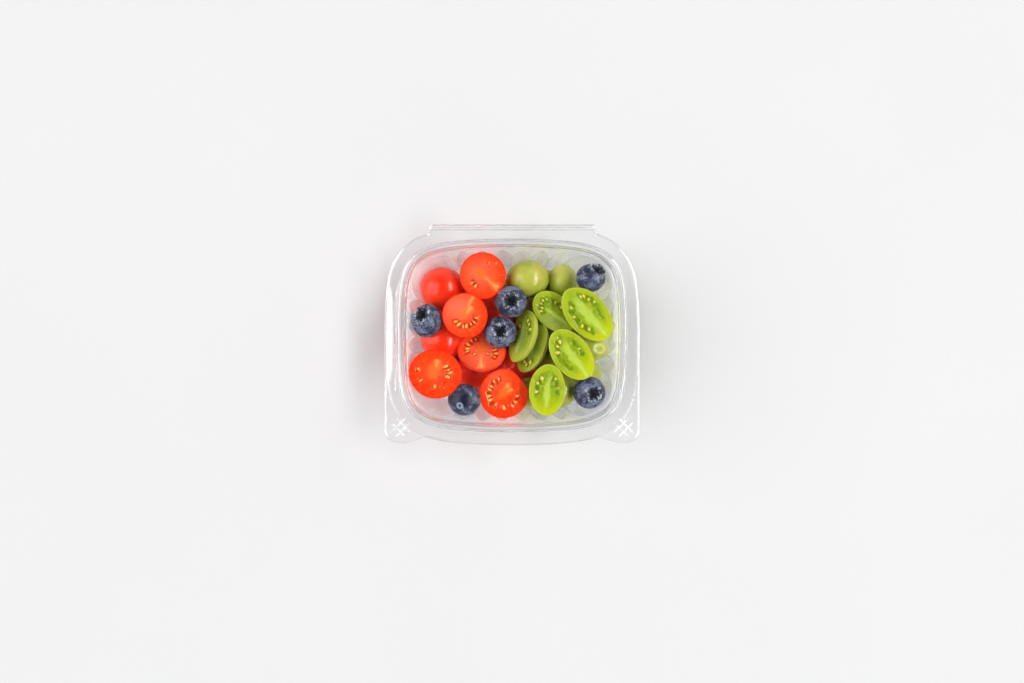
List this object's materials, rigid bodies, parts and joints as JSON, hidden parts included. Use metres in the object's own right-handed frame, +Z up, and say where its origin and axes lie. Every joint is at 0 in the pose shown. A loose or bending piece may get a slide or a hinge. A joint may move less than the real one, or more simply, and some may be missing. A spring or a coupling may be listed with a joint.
{
  "type": "hinged deli container",
  "caption": "Clear thin-sheet container with fluted walls and a hinged lid, shut over halved red and green tomatoes and berries.",
  "frame": {"origin": "middle of the foot, on the surface that the container stands on", "axes": "+Z up, +Y towards the hinge, -Y towards the opening tabs, +X to the right seen from the tabs"},
  "size_m": [0.136, 0.1171, 0.0488],
  "materials": {
    "clear_sheet": "clear formed sheet, glossy",
    "red_tomato": "glossy skin, wet cut face",
    "green_tomato": "glossy skin, wet cut face",
    "berry_skin": "dark skin with a pale waxy bloom",
    "lower_fruit": "glossy, seen through the walls"
  },
  "bodies": {
    "tray": {"tray": "clear_sheet", "berry_1": "berry_skin", "berry_2": "berry_skin", "berry_3": "berry_skin", "berry_4": "berry_skin", "berry_5": "berry_skin", "berry_6": "berry_skin", "low_red_1": "red_tomato", "low_red_2": "red_tomato", "low_red_3": "red_tomato", "red_whole_1": "red_tomato", "red_whole_2": "red_tomato", "red_half_1": "red_tomato", "red_half_2": "red_tomato", "red_half_3": "red_tomato", "red_half_4": "red_tomato", "red_half_5": "red_tomato", "low_green_1": "green_tomato", "green_whole_1": "green_tomato", "green_whole_2": "green_tomato", "green_whole_3": "green_tomato", "green_whole_4": "green_tomato", "green_whole_5": "green_tomato", "green_half_1": "green_tomato", "green_half_2": "green_tomato", "green_half_3": "green_tomato", "green_half_4": "green_tomato", "green_half_5": "green_tomato", "green_half_6": "green_tomato", "lower_fruit": "lower_fruit"},
    "lid": {"lid": "clear_sheet"}
  },
  "joints": [
    {"name": "lid_hinge", "type": "hinge", "parent": "tray", "child": "lid", "pos_m": [0, 0.059, 0.04415], "axis": [-1, 0, 0], "range_deg": [0, 180]}
  ]
}
